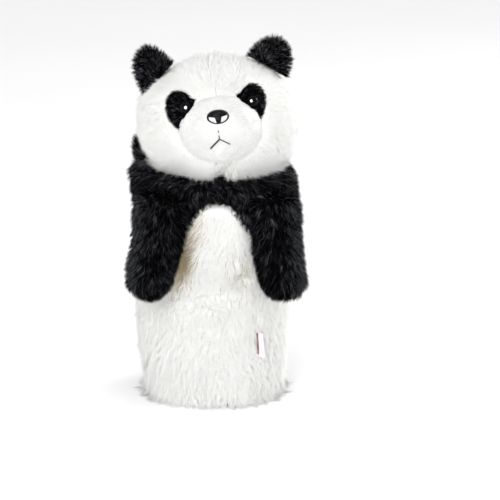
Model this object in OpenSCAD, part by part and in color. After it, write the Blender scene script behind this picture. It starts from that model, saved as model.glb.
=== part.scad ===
// Plush panda cover for a golf driver: a lined sleeve with a stuffed head and two hanging arms.
// Millimetres, +Z up. The origin is the centre of the sleeve's mouth, in the plane of the hem.
// The panda faces -Y. "left" and "right" are the panda's own, so its left is at +X.

/* [Sleeve and body] */
// Height of the hem band at the mouth
hem_h = 3; // [2:0.5:5]
// Height of the seam between the white sleeve and the panels above it
sleeve_top = 122; // [115:1:135]
// Height of the neck seam
neck_z = 240; // [238:1:242]
// Thickness of a long-pile panel, with its backing and its flattened pile
fur_t = 9; // [6:0.5:9]
// Squareness of the body's cross-section, where 2 is an ellipse
body_n = 2.3; // [2.1:0.1:2.6]
// Height of the top of the white belly arch
arch_top = 213; // [200:1:215]
// Half the width of the belly arch where it meets the sleeve
arch_half_w = 57; // [50:1:58]

/* [Lining] */
// Half the width of the cavity for the club head
cavity_half_w = 58.5; // [56:0.5:59]
// Half the depth of the cavity
cavity_half_d = 48.5; // [46:0.5:49]
// Height of the cavity's domed end
cavity_top = 236; // [225:1:237]
// Thickness of the knitted lining
lining_t = 1.5; // [1:0.1:1.8]
// Thickness of the foam between the lining and the fur
foam_t = 4; // [3:0.5:4]

/* [Head] */
// Half the width of the head
head_half_w = 81; // [78:1:84]
// Half the depth of the head
head_half_d = 70; // [66:1:74]
// Half the height of the head
head_half_h = 65; // [64:1:68]
// Height of the head's centre
head_z = 290; // [288:1:292]
// How far the head's centre is in front of the sleeve's axis
head_forward = 5; // [2:1:8]
// How far the face looks up, in degrees
face_pitch = 17; // [10:1:20]
// How far the face leans towards the panda's right, in degrees
face_roll = 5.5; // [0:0.5:8]
// How far the face turns towards the panda's left, in degrees
face_yaw = 1.5; // [0:0.5:4]

/* [Face] */
// Half the width of the muzzle's outline
muzzle_half_w = 38; // [36:1:39]
// Half the height of the muzzle's outline
muzzle_half_h = 30; // [28:1:31]
// How far the muzzle stands out from the head
muzzle_h = 20; // [16:1:24]
// Half the distance between the eyes
eye_half_gap = 33; // [32:0.5:35]
// Diameter of an eye
eye_d = 11; // [9:0.5:12]
// Width of the nose
nose_w = 22.5; // [18:0.5:26]
// Height of the nose
nose_h = 14.5; // [12:0.5:17]
// Radius of an ear
ear_r = 22; // [18:1:24]
// Thickness of an ear
ear_t = 17; // [12:1:20]

/* [Arms] */
// Half the width of an arm
arm_half_w = 26.5; // [24:0.5:27]
// Half the thickness of an arm at the shoulder
arm_half_t = 20; // [18:0.5:20.5]
// Half the thickness of an arm at the paw
paw_half_t = 22; // [20:0.5:23]
// Length from the shoulder's hinge line to the middle of the paw
arm_len = 74; // [68:1:76]
// Turn of each arm round the side of the body, in degrees
arm_turn = 20; // [18:1:22]

/* [Hidden] */

seam = 0.5;            // gap left between neighbouring panels
arch_gap = 1.3;         // gap left under the belly's arch
seam_turn = 0.1;       // half the gap between the two halves of the face, in degrees
fit = 0.4;             // gap between a filling and the panel round it
side_seam_left = 302;  // turn of the sleeve's seam that holds the label, from +X
side_seam_right = 165; // turn of the sleeve's other seam
crown_el = 89.3;       // the head's panels end this near its top, in degrees

// Half width, half depth and middle of the body at each height
body_half_w = [[0, 70], [35, 74], [80, 79], [140, 80], [222, 81], [233, 76], [240, 65]];
body_half_d = [[0, 63], [60, 66], [140, 68], [200, 67], [225, 64], [234, 60], [240, 55]];
body_mid_y = [[0, 0], [140, 0], [240, -head_forward]];

head_n_low = 2.55;     // squareness of the head below its middle, for full cheeks
head_n_high = 2.1;     // and above it
head_n_blend = 0.25;   // height of the change between them
head_c = [0, -head_forward, head_z];

// Places on the face, across and up from its middle
face_mid = 2;          // how far the eyes and ears are set towards the panda's left
muzzle_mid = [1, -14.6];
muzzle_rim = 1.8;      // thickness of the muzzle's sewn rim
muzzle_t = 4;          // thickness of the muzzle's panel
muzzle_gap = 1.4;      // how far the muzzle's inside is from the head
nose_at = [-0.5, -3.3];
mouth_join = [-1, -20.4];
mouth_end = [7.8, -26.4];
eye_up = 8.5;
patch_mid = [35.5, 7.2];
patch_half = [14.8, 21];
patch_lean = 14;
patch_t = 3.5;
ear_at = [55, 45, 12];
ear_lean = 50;         // how far up an ear points, in degrees from the side
ear_tall = 1.1;        // height of an ear for its width
ear_foot = 1.5;        // height of an ear's middle above its foot
ear_lift = 1.6;        // how far the foot is off the fur
ear_rim = 1.5;         // half the thickness of the rim
ear_seam = 0.15;       // half the gap between an ear's two halves
inner_ring = 0.06;     // share of an ear's size where its rings start
shank_r = 2;
nose_shank = 10;       // length of the nose's shank
eye_shank = 18;        // length of an eye's shank
muzzle_room = 1.03;    // size of the room left for the muzzle in an eye patch
muzzle_room_h = [-9, 20];
washer_r = 6;
washer_t = 1.6;
washer_play = 0.05;    // gap between a washer's bore and its shank
nose_grip = 8.5;       // how far the nose's washer is under the muzzle's outside
eye_grip = 4.2;        // how far an eye's washer is under the head's panel

shoulder = [58, -69, 213];
arm_drift = [4, -4];   // how far the paw is outside and in front of the shoulder
recess = 3;            // room left round the top of an arm
arm_skin_t = 8;        // thickness of an arm's fur and backing
arm_seam_turn = 0.6;   // half the gap between the two halves of an arm, in degrees

label_size = [11, 26];
label_t = 0.8;
label_fold = 0.3;      // gap between the label's two layers
label_z = 66;
lining_z = hem_h + seam;
foam_z = 25;
cavity_dome = 42;      // height of the cavity's dome
dome_share = 0.6;      // share of a cavity wall's rings that lie in its dome

// ---- Curves and surfaces ----

// The coordinates of a superellipse: an ellipse with fuller corners
function cosn(a, n) = sign(cos(a)) * pow(abs(cos(a)), 2 / n);
function sinn(a, n) = sign(sin(a)) * pow(abs(sin(a)), 2 / n);
function mix(a, b, t) = a + (b - a) * t;

// A square of side 2 pressed out to a disc of radius 1
function disc(u, v) =
  let (a = 2 * u - 1, b = 2 * v - 1)
  [a * sqrt(1 - b * b / 2), b * sqrt(1 - a * a / 2)];

// A vector from the arm's frame, whose X runs across the arm, to the body's frame, and back
function turned(p, side) =
  let (a = side * arm_turn)
  [p.x * cos(a) - p.y * sin(a), p.x * sin(a) + p.y * cos(a), p.z];
function shoulder_at(side) = [side * shoulder.x, shoulder.y, shoulder.z];

// A point of the body moved away from an arm, which turns at its top and rests in a hollow below
function clear_of(p, side, extra) =
  let (
    q = turned(p - shoulder_at(side), -side),
    t = min(1, max(0, -q.z / arm_len)),
    room = recess + extra,
    across = (q.x - side * arm_drift.x * t) / (arm_half_w + room),
    below = max(0, -q.z - arm_len) / (paw_half_t + room),
    r = (mix(arm_half_t, paw_half_t, t) + room) * sqrt(max(0, 1 - across * across - below * below)),
    d = norm([q.y, q.z]),
    k = q.z > 0 && d < r ? r / d : 1,
    back = q.z > 0 || r == 0 ? q.y * k : max(q.y, arm_drift.y * t + r)
  )
  shoulder_at(side) + turned([q.x, back, q.z * k], side);

// The body's surface at turn az and height z, "inset" mm inside its outside
function body_at(az, z, inset = 0) =
  let (
    p = [
      (lookup(z, body_half_w) - inset) * cosn(az, body_n),
      lookup(z, body_mid_y) + (lookup(z, body_half_d) - inset) * sinn(az, body_n),
      z
    ]
  )
  clear_of(clear_of(p, 1, inset), -1, inset);

// The height of the belly arch at turn az
function arch_z(az) =
  let (x = body_at(az, 180).x / arch_half_w)
  mix(arch_top, sleeve_top, min(1, x * x));

// Squareness of the head at rise s, from -1 at its bottom to 1 at its top
function head_n(s) =
  let (t = max(0, min(1, (s / head_n_blend + 1) / 2)))
  mix(head_n_low, head_n_high, t * t * (3 - 2 * t));
// The head's surface at turn az and height angle el, "inset" mm inside its outside
function head_at(az, el, inset = 0) =
  let (
    n = head_n(sin(el)),
    p = [
      (head_half_w - inset) * cosn(el, n) * cosn(az, n),
      (head_half_d - inset) * cosn(el, n) * sinn(az, n),
      (head_half_h - inset) * sinn(el, n)
    ],
    d = p / norm(p)
  )
  head_c + d * head_reach(d, inset);
// The height angle at which the head's surface is at the neck seam
neck_drop = (head_z - neck_z - seam) / head_half_h;
neck_el = -asin(pow(neck_drop, head_n_low / 2));

// A vector from the face's frame, X across, Y up and Z out, to the body's frame
function from_face(v) =
  let (
    r = [v.x * cos(face_roll) - v.y * sin(face_roll), v.x * sin(face_roll) + v.y * cos(face_roll), v.z],
    p = [r.x, -r.z * cos(face_pitch) + r.y * sin(face_pitch), r.z * sin(face_pitch) + r.y * cos(face_pitch)]
  )
  [p.x * cos(face_yaw) - p.y * sin(face_yaw), p.x * sin(face_yaw) + p.y * cos(face_yaw), p.z];

// How far the head's surface is from its centre, in the direction of the unit vector d
function head_reach(d, inset = 0) =
  let (n = head_n(d.z))
  1 / pow(
    pow(abs(d.x) / (head_half_w - inset), n) + pow(abs(d.y) / (head_half_d - inset), n)
      + pow(abs(d.z) / (head_half_h - inset), n),
    1 / n
  );
// The direction of the place on the face that is x across and y up
function face_dir(x, y) =
  let (
    out = sqrt(max(0, 1 - pow(x / head_half_w, 2) - pow(y / head_half_h, 2))),
    v = from_face([x, y, out * head_half_d])
  )
  v / norm(v);
// The place on the face that is x across and y up, and "out" mm above the fur
function face_at(x, y, out = 0) =
  let (d = face_dir(x, y))
  head_c + d * (head_reach(d) + out);
// The place on the face of a point p of a unit disc, stretched to the muzzle's outline
function muzzle_xy(p, size) =
  [muzzle_mid.x + muzzle_half_w * size * p.x, muzzle_mid.y + muzzle_half_h * size * p.y];
// How far the muzzle's panel stands out from the head at a place on the face
function muzzle_out(x, y) =
  let (s = norm([(x - muzzle_mid.x) / muzzle_half_w, (y - muzzle_mid.y) / muzzle_half_h]))
  muzzle_rim + muzzle_h * pow(max(0, 1 - s * s), 0.65);

// ---- Solids from surfaces ----

function total(v, zero, i = 0) = i == len(v) ? zero : total(v, zero + v[i], i + 1);
function volume(pts, tris) = total([for (t = tris) cross(pts[t[0]], pts[t[1]]) * pts[t[2]]], 0) / 6;

// A polyhedron whose triangles are turned so that they face outwards
module solid(pts, tris) {
  outward = volume(pts, tris) < 0;
  polyhedron(points = pts, faces = [for (t = tris) outward ? t : [t[0], t[2], t[1]]]);
}

// The solid between two surfaces, each a function of two numbers from 0 to 1
module between(outer, inner, nu, nv) {
  row = nv + 1;
  layer = (nu + 1) * row;
  pts = [for (f = [outer, inner]) for (i = [0 : nu]) for (j = [0 : nv]) f(i / nu, j / nv)];
  sheets = [
    for (i = [0 : nu - 1]) for (j = [0 : nv - 1]) let (a = i * row + j)
      each [
        [a, a + row, a + row + 1], [a, a + row + 1, a + 1],
        [layer + a, layer + a + row + 1, layer + a + row], [layer + a, layer + a + 1, layer + a + row + 1]
      ]
  ];
  ends_u = [
    for (j = [0 : nv - 1]) let (a = j, b = nu * row + j)
      each [
        [a, a + 1, layer + a + 1], [a, layer + a + 1, layer + a],
        [b, layer + b + 1, b + 1], [b, layer + b, layer + b + 1]
      ]
  ];
  ends_v = [
    for (i = [0 : nu - 1]) let (a = i * row, b = a + nv)
      each [
        [a, layer + a + row, a + row], [a, layer + a, layer + a + row],
        [b, b + row, layer + b + row], [b, layer + b + row, layer + b]
      ]
  ];
  solid(pts, concat(sheets, ends_u, ends_v));
}

// A solid made of closed rings, with a flat cap on the first and the last
module rings(ring, nu, nv) {
  pts = [for (j = [0 : nv]) for (i = [0 : nu - 1]) ring(i / nu, j / nv)];
  first = total([for (i = [0 : nu - 1]) pts[i]], [0, 0, 0]) / nu;
  last = total([for (i = [0 : nu - 1]) pts[nv * nu + i]], [0, 0, 0]) / nu;
  n = len(pts);
  sides = [
    for (j = [0 : nv - 1]) for (i = [0 : nu - 1])
      let (a = j * nu + i, b = j * nu + (i + 1) % nu)
      each [[a, b, b + nu], [a, b + nu, a + nu]]
  ];
  caps = [
    for (i = [0 : nu - 1]) let (k = (i + 1) % nu)
      each [[n, k, i], [n + 1, nv * nu + i, nv * nu + k]]
  ];
  solid(concat(pts, [first, last]), concat(sides, caps));
}

// A panel of the body between two turns, from height low(az) to height high(az)
module body_panel(az0, az1, low, high, nu, nv) {
  place = function (inset) function (u, v)
    let (az = mix(az0, az1, u))
    body_at(az, mix(low(az), high(az), v), inset);
  between(place(0), place(fur_t), nu, nv);
}

// A panel of the head between two turns, from the neck to the crown
module head_panel(az0, az1, nu, nv) {
  place = function (inset) function (u, v)
    head_at(mix(az0, az1, u), mix(neck_el, crown_el, v), inset);
  between(place(0), place(fur_t), nu, nv);
}

// Stands its children on the face, with their +Z pointing out of it
module on_face(x, y, out = 0) {
  d = face_dir(x, y);
  translate(face_at(x, y, out))
    rotate([0, acos(d.z), atan2(d.y, d.x)])
      children();
}

// ---- Sleeve and body ----

// One superellipse outline of the sleeve's mouth
module mouth_outline(inset) {
  polygon([for (i = [0 : 47]) let (p = body_at(i * 7.5, 0, inset)) [p.x, p.y]]);
}

// Folded band that finishes the mouth
module hem_binding() {
  color("whitesmoke")
    linear_extrude(hem_h)
      difference() {
        mouth_outline(1);
        scale([1, cavity_half_d / cavity_half_w])
          circle(r = cavity_half_w, $fn = 96);
      }
}

module sleeve_front() {
  color("white")
    body_panel(
      side_seam_right + seam, side_seam_left,
      function (az) hem_h + seam, function (az) sleeve_top, 18, 12
    );
}

module sleeve_back() {
  color("white")
    body_panel(
      side_seam_left - 360 + seam, side_seam_right,
      function (az) hem_h + seam, function (az) sleeve_top, 24, 12
    );
}

// White panel with a pointed arch for its top, between the arms
module belly_panel() {
  reach = 39.5;
  color("white")
    body_panel(
      270 - reach, 270 + reach,
      function (az) sleeve_top + seam, function (az) arch_z(az) - arch_gap, 14, 9
    );
}

// Black chest and shoulders, cut away round the belly arch
module yoke_front() {
  color("#1a1a1c")
    body_panel(
      180 + seam, 360 - seam,
      function (az) arch_z(az) + seam, function (az) neck_z, 28, 9
    );
}

module yoke_back() {
  color("#1a1a1c")
    body_panel(
      0, 180,
      function (az) sleeve_top + seam, function (az) neck_z, 20, 9
    );
}

// ---- Lining ----

// A tube with a domed end, "grow" mm outside the cavity and t thick, from height z0
module cavity_skin(z0, grow, t) {
  wall = function (turn, s, out)
    let (
      lat = max(0, 88 * (1 - s / dome_share)),
      z = mix(cavity_top - cavity_dome, z0, max(0, s - dome_share) / (1 - dome_share))
    )
    [
      (cavity_half_w + out) * cos(lat) * cos(turn),
      (cavity_half_d + out) * cos(lat) * sin(turn),
      z + (cavity_dome + out) * sin(lat)
    ];
  rings(
    function (u, v) v < 0.5 ? wall(360 * u, 2 * v, grow) : wall(360 * u, 2 - 2 * v - 0.0001, grow + t),
    32, 21
  );
}

module inner_lining() {
  color("#2b2b30")
    cavity_skin(lining_z, 0, lining_t);
}

module foam_padding() {
  color("#d8cf9a")
    cavity_skin(foam_z, lining_t + fit, foam_t);
}

// ---- Head ----

module face_left() {
  color("white") head_panel(270 + seam_turn, 360 - seam_turn, 12, 16);
}

module face_right() {
  color("white") head_panel(180 + seam_turn, 270 - seam_turn, 12, 16);
}

module head_back() {
  color("white") head_panel(0, 180, 22, 15);
}

// Polyester filling of the head
module head_stuffing() {
  inset = fur_t + 6.5;
  low_el = -46;
  high_el = 85;
  color("#f0efe8")
    rings(function (u, v) head_at(360 * u, mix(low_el, high_el, v), inset), 22, 11);
}

// A sheet of the muzzle, "under" mm below its outside, that keeps "least" mm off the head
function muzzle_sheet(size, under, least) = function (u, v)
  let (q = muzzle_xy(disc(u, v), size))
  face_at(q.x, q.y, max(least, muzzle_out(q.x, q.y) - under));

// Short-pile dome round the nose and mouth, which thins to its sewn rim
module muzzle_panel() {
  color("white")
    between(muzzle_sheet(1, 0, 0), muzzle_sheet(1, muzzle_t, muzzle_gap), 13, 13);
}

module muzzle_stuffing() {
  size = 0.86;
  pocket_h = 12;
  whole = muzzle_h + muzzle_t;
  color("#f0efe8")
    difference() {
      between(
        muzzle_sheet(size, muzzle_t + 4 * fit, muzzle_gap),
        muzzle_sheet(size, whole, muzzle_gap),
        12, 12
      );
      on_face(nose_at.x, nose_at.y, muzzle_out(nose_at.x, nose_at.y) - pocket_h)
        cylinder(r = washer_r + 1, h = pocket_h, $fn = 32);
    }
}

// The mouth in thick thread: a bent stitch, and a short upright one above it
module mouth_stitches() {
  thread_r = 0.7;
  bend = [mouth_end.x * 0.5, mix(mouth_join.y, mouth_end.y, 0.4)];
  upright = [mouth_join.x, mouth_join.y + 2.5];
  color("#333333") {
    thread(
      [
        [mouth_join.x - mouth_end.x, mouth_end.y], [mouth_join.x - bend.x, bend.y], mouth_join,
        [mouth_join.x + bend.x, bend.y], [mouth_join.x + mouth_end.x, mouth_end.y]
      ],
      thread_r
    );
    thread([upright, upright + [0, 6]], thread_r);
  }
}

// A thread of radius r that lies on the muzzle along a list of places
module thread(places, r) {
  last = len(places) - 1;
  spot = function (v)
    let (s = v * last, i = min(floor(s), last - 1), q = mix(places[i], places[i + 1], s - i))
    face_at(q.x, q.y, muzzle_out(q.x, q.y) + r + fit);
  ring = function (u, v)
    let (
      along = spot(min(1, v + 0.02)) - spot(max(0, v - 0.02)),
      out = spot(v) - head_c,
      up = out / norm(out),
      side = cross(along, up)
    )
    spot(v) + r * (cos(360 * u) * up + sin(360 * u) * side / norm(side));
  rings(ring, 8, 4 * last);
}

// ---- Nose and eyes ----

// Moulded nose: a low rounded triangle on a shank
module nose() {
  out = muzzle_out(nose_at.x, nose_at.y) + 0.6;
  color("#0c0c0d")
    on_face(nose_at.x, nose_at.y, out) {
      rotate([0, 0, 90])
        intersection() {
          scale([nose_w / nose_h, 1, 0.95]) sphere(d = nose_h, $fn = 48);
          translate([-nose_w, -nose_h, 0.5]) cube([2 * nose_w, 2 * nose_h, nose_h]);
        }
      translate([0, 0, -nose_shank]) cylinder(r = shank_r, h = nose_shank + 1, $fn = 24);
    }
}

// Locking washer with a bore that the shank passes through
module washer() {
  difference() {
    cylinder(r = washer_r, h = washer_t, $fn = 32);
    translate([0, 0, -1]) cylinder(r = shank_r + washer_play, h = washer_t + 2, $fn = 24);
  }
}

module nose_washer() {
  out = muzzle_out(nose_at.x, nose_at.y);
  color("#e8e8e8")
    on_face(nose_at.x, nose_at.y, out - nose_grip) washer();
}

// A domed eye on a shank, on the given side of the face
module eye(side) {
  dome_h = 5;
  color("#050505")
    on_face(face_mid + side * eye_half_gap, eye_up, patch_t + 0.3) {
      intersection() {
        scale([1, 1, 2 * dome_h / eye_d]) sphere(d = eye_d, $fn = 40);
        translate([-eye_d, -eye_d, 0.5]) cube([2 * eye_d, 2 * eye_d, eye_d]);
      }
      translate([0, 0, -eye_shank]) cylinder(r = shank_r, h = eye_shank + 1, $fn = 24);
    }
}

module eye_washer(side) {
  color("#e8e8e8")
    on_face(face_mid + side * eye_half_gap, eye_up, -fur_t - eye_grip) washer();
}

module eye_left() { eye(1); }
module eye_right() { eye(-1); }
module eye_washer_left() { eye_washer(1); }
module eye_washer_right() { eye_washer(-1); }

// The room that the muzzle's rim takes up, as far as "out" mm from the head
function muzzle_block(out) = function (u, v)
  let (q = muzzle_xy(disc(u, v), muzzle_room))
  face_at(q.x, q.y, out);

// Black oval sewn round an eye, leaning outwards at its foot
module eye_patch(side) {
  place = function (out) function (u, v)
    let (
      p = disc(u, v),
      q = [p.x * patch_half.x, p.y * patch_half.y],
      a = -side * patch_lean,
      x = q.x * cos(a) - q.y * sin(a),
      y = q.x * sin(a) + q.y * cos(a)
    )
    face_at(face_mid + side * patch_mid.x + x, patch_mid.y + y, out);
  color("#1a1a1c")
    difference() {
      between(place(patch_t), place(2 * fit), 10, 10);
      between(muzzle_block(muzzle_room_h[1]), muzzle_block(muzzle_room_h[0]), 9, 9);
    }
}

module eye_patch_left() { eye_patch(1); }
module eye_patch_right() { eye_patch(-1); }

// ---- Ears ----

// Half of a rounded ear. "face" is 1 for the front half and -1 for the back half.
module ear_half(side, face) {
  base = from_face([face_mid + side * ear_at.x, ear_at.y, ear_at.z]);
  dir = base / norm(base);
  foot = head_c + dir * (head_reach(dir) + ear_lift);
  place = function (top) function (u, v)
    let (
      a = 180 * u,
      s = mix(inner_ring, 1, v),
      across = ear_r * s * cos(a),
      up = ear_r * ear_tall * s * sin(a) + ear_foot,
      h = top ? ear_rim + (ear_t / 2 - ear_rim) * sqrt(max(0, 1 - s * s)) : ear_seam,
      x = across * sin(ear_lean) + up * cos(ear_lean),
      y = -across * cos(ear_lean) + up * sin(ear_lean)
    )
    foot + from_face([side * x, y, face * h]);
  between(place(true), place(false), 14, 7);
}

module ear_left_front() { color("#1a1a1c") ear_half(1, 1); }
module ear_left_back() { color("#1a1a1c") ear_half(1, -1); }
module ear_right_front() { color("#1a1a1c") ear_half(-1, 1); }
module ear_right_back() { color("#1a1a1c") ear_half(-1, -1); }

// ---- Arms ----

// The arm's surface at turn az and v from the shoulder to the paw, "inset" mm inside its outside
function arm_at(side, az, v, inset) =
  let (
    cap = 0.28,
    t = min(1, max(0, (v - cap) / (1 - 2 * cap))),
    lat = v < cap ? 86 * (1 - v / cap) : v > 1 - cap ? -86 * (v - 1 + cap) / cap : 0,
    half_t = mix(arm_half_t, paw_half_t, t),
    mid = [side * arm_drift.x * t, arm_drift.y * t, -arm_len * t],
    p = mid + [
      (arm_half_w - inset) * cos(lat) * cos(az),
      (half_t - inset) * cos(lat) * sin(az),
      (half_t - inset) * sin(lat)
    ]
  )
  shoulder_at(side) + turned(p, side);

// Half of an arm's skin, from turn az0 to half a turn further
module arm_half(side, az0) {
  place = function (inset) function (u, v)
    arm_at(side, mix(az0 + arm_seam_turn, az0 + 180 - arm_seam_turn, u), v, inset);
  color("#1a1a1c") between(place(0), place(arm_skin_t), 11, 14);
}

module arm_stuffing(side) {
  color("#f0efe8")
    rings(function (u, v) arm_at(side, 360 * u, v, arm_skin_t + fit), 16, 10);
}

module arm_left_front() { arm_half(1, 180); }
module arm_left_back() { arm_half(1, 0); }
module arm_left_stuffing() { arm_stuffing(1); }
module arm_right_front() { arm_half(-1, 180); }
module arm_right_back() { arm_half(-1, 0); }
module arm_right_stuffing() { arm_stuffing(-1); }

// ---- Label ----

// Woven tab, folded double, that stands out of the fur at the sleeve's seam
module woven_label() {
  away = body_at(side_seam_left, label_z) - body_at(side_seam_left, label_z, fur_t);
  color("white")
    translate(body_at(side_seam_left, label_z, -2 * fit))
      rotate([0, 0, atan2(away.y, away.x)])
        translate([0, -label_t, -label_size.y / 2])
          difference() {
            cube([label_size.x, 2 * label_t, label_size.y]);
            translate([-1, label_t - label_fold / 2, -1])
              cube([label_size.x, label_fold, label_size.y + 2]);
          }
}

hem_binding();
sleeve_front();
sleeve_back();
belly_panel();
yoke_front();
yoke_back();
inner_lining();
foam_padding();
face_left();
face_right();
head_back();
head_stuffing();
muzzle_panel();
muzzle_stuffing();
mouth_stitches();
nose();
nose_washer();
eye_patch_left();
eye_patch_right();
eye_left();
eye_right();
eye_washer_left();
eye_washer_right();
ear_left_front();
ear_left_back();
ear_right_front();
ear_right_back();
arm_left_front();
arm_left_back();
arm_left_stuffing();
arm_right_front();
arm_right_back();
arm_right_stuffing();
woven_label();
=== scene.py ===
"""Looks of a plush panda cover for a golf driver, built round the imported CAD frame.

Shapes are worked out in millimetres, in the CAD frame, and become metres when a mesh is made.
Every fur panel is a skin, which is a thin closed shell, and a pile, which is real strands.
"""

import math

import bpy
import numpy as np
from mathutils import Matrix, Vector
from mathutils.kdtree import KDTree


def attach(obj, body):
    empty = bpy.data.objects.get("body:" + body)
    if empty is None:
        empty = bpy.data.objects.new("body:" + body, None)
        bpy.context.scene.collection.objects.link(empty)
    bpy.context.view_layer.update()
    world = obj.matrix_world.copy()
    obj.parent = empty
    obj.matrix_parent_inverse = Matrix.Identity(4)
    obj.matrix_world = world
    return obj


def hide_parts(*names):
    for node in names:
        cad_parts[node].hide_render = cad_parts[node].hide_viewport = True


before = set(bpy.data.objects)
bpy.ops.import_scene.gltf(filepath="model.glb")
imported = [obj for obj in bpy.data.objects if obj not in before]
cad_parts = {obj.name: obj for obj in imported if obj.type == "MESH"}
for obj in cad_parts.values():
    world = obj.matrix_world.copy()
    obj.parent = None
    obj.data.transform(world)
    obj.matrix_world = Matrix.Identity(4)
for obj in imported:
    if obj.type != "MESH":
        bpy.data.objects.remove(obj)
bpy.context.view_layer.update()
MM = 0.001

# ---- Sizes, as in the CAD model ----

HEM_H = 3.0
SLEEVE_TOP = 122.0
NECK_Z = 240.0
ARCH_TOP = 213.0
ARCH_HALF_W = 57.0
BODY_N = 2.3
BODY_W = ([0, 35, 80, 140, 222, 233, 240], [70, 74, 79, 80, 81, 76, 65])
BODY_D = ([0, 60, 140, 200, 225, 234, 240], [63, 66, 68, 67, 64, 60, 55])
BODY_Y = ([0, 140, 240], [0, 0, -5])
CAVITY = (58.5, 48.5, 236.0)
DOME = 42.0
HEAD = np.array([81.0, 70.0, 65.0])
HEAD_C = np.array([0.0, -5.0, 290.0])
N_LOW, N_HIGH, N_BLEND = 2.55, 2.1, 0.25
PITCH, ROLL, YAW = (math.radians(a) for a in (17, 5.5, 1.5))
FACE_MID = 2.0
MUZZLE_MID, MUZZLE_HALF, MUZZLE_H = (1.0, -14.6), (38.0, 30.0), 20.0
NOSE_AT = (-0.5, -3.3)
NOSE_W, NOSE_H = 22.5, 14.5
EYE_GAP, EYE_UP, EYE_D = 33.0, 8.5, 11.0
PATCH_LEAN = math.radians(14)
EAR_AT, EAR_LEAN = (55.0, 45.0, 12.0), math.radians(50)
EAR_R = 22.0
SHOULDER = np.array([58.0, -69.0, 213.0])
ARM_W, ARM_T, PAW_T, ARM_LEN = 26.5, 20.0, 22.0, 74.0
ARM_TURN = math.radians(20)
ARM_DRIFT = (4.0, -4.0)
RECESS = 3.0
SEAM_LEFT, SEAM_RIGHT = 302.0, 165.0
LABEL_SIZE, LABEL_Z = (11.0, 26.0), 66.0

# ---- Sizes of the visual model's own ----

# How far backing cloths and fillings are inside the CAD's outside, and the cloth's thickness
SKIN_INSET = 6.5
FILL_INSET = SKIN_INSET + 2.0
SKIN_T = 1.4
# The gap at a panel's edge, in degrees round a body and in millimetres up it
SEAM_GAP = 0.3
# The eye patches are slimmer and farther apart than in the CAD model, and PATCH_X moves both across
PATCH_MID, PATCH_HALF = (37.0, 7.2), (13.2, 20.5)
PATCH_X = -0.4
# Each patch's point at its inner corner: how far it reaches, and its width in radians. 1 is the left patch
PATCH_POINTS = {1: (0.34, 0.10), -1: (0.5, 0.07)}
# Millimetres from the middle to the outline of a patch and of the muzzle, about
PATCH_RIM, MUZZLE_RIM = 15.0, 33.0
# Each ear's shares of width and height, its shear, and its shifts across and up. 1 is the left ear
EAR_SHAPES = {1: (0.98, 1.43, 1.5, 4.0, 2.0), -1: (0.94, 1.6, 9.0, -2.3, -3.0)}
EAR_TILT = math.radians(4)
# The length of the pile on the sleeve, and on the belly and the black panels
SLEEVE_FUR, BODY_FUR = 12, 11
# A distance for places that no part is near
FAR = 99.0


# ---- Small maths ----


def unit(v):
    return v / np.maximum(np.linalg.norm(v, axis=-1, keepdims=True), 1e-9)


def mix(a, b, t):
    return a + (b - a) * t


def smooth(t):
    t = np.clip(t, 0, 1)
    return t * t * (3 - 2 * t)


def hill(x, centre, width):
    return np.exp(-(((x - centre) / width) ** 2))


def stack(x, y, z):
    return np.stack(np.broadcast_arrays(x, y, z), axis=-1).astype(float)


def rounded(c, n):
    return np.sign(c) * np.abs(c) ** (2 / n)


def lumps(p, size, seed):
    """Smooth uneven waves over space, about -1 to 1, with humps about "size" mm across."""
    rng = np.random.default_rng(seed)
    ways = unit(rng.normal(size=(7, 3))) * (math.pi / size)
    turns = rng.random(7) * 2 * math.pi
    return np.sin(p @ ways.T + turns).sum(-1) / 3.2


def turned(p, angle):
    c, s = math.cos(angle), math.sin(angle)
    x, y, z = p[..., 0], p[..., 1], p[..., 2]
    return stack(x * c - y * s, x * s + y * c, z)


# ---- Surfaces ----


def shoulder_at(side):
    return SHOULDER * np.array([side, 1, 1])


def clear_of(p, side, extra):
    """The body's surface, hollowed where an arm turns and rests."""
    q = turned(p - shoulder_at(side), -side * ARM_TURN)
    t = np.clip(-q[..., 2] / ARM_LEN, 0, 1)
    room = RECESS + extra
    across = (q[..., 0] - side * ARM_DRIFT[0] * t) / (ARM_W + room)
    below = np.maximum(0, -q[..., 2] - ARM_LEN) / (PAW_T + room)
    r = (mix(ARM_T, PAW_T, t) + room) * np.sqrt(np.maximum(0, 1 - across**2 - below**2))
    d = np.hypot(q[..., 1], q[..., 2])
    above = q[..., 2] > 0
    k = np.where(above & (d < r), r / np.maximum(d, 1e-6), 1)
    back = np.where(above | (r == 0), q[..., 1] * k, np.maximum(q[..., 1], ARM_DRIFT[1] * t + r))
    return shoulder_at(side) + turned(stack(q[..., 0], back, q[..., 2] * k), side * ARM_TURN)


def body_at(az, z, inset=0.0, room=None):
    """The body's surface at turn az in degrees and height z."""
    a = np.radians(az)
    z = np.asarray(z, float)
    p = stack(
        (np.interp(z, *BODY_W) - inset) * rounded(np.cos(a), BODY_N),
        np.interp(z, *BODY_Y) + (np.interp(z, *BODY_D) - inset) * rounded(np.sin(a), BODY_N),
        z + 0 * a,
    )
    room = inset if room is None else room
    return clear_of(clear_of(p, 1, room), -1, room)


def arm_gap(p):
    """How far points are from the outside of the nearer arm."""
    gap = np.full(p.shape[:-1], FAR)
    for side in (1, -1):
        q = turned(p - shoulder_at(side), -side * ARM_TURN)
        t = np.clip(-q[..., 2] / ARM_LEN, 0, 1)
        half = mix(ARM_T, PAW_T, t)
        k = ((q[..., 0] - side * (ARM_DRIFT[0] + 2) * t) / ARM_W) ** 2
        k += ((q[..., 1] - ARM_DRIFT[1] * t) / half) ** 2 + ((q[..., 2] + ARM_LEN * t) / half) ** 2
        gap = np.minimum(gap, (np.sqrt(k) - 1) * half)
    return gap


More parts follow.
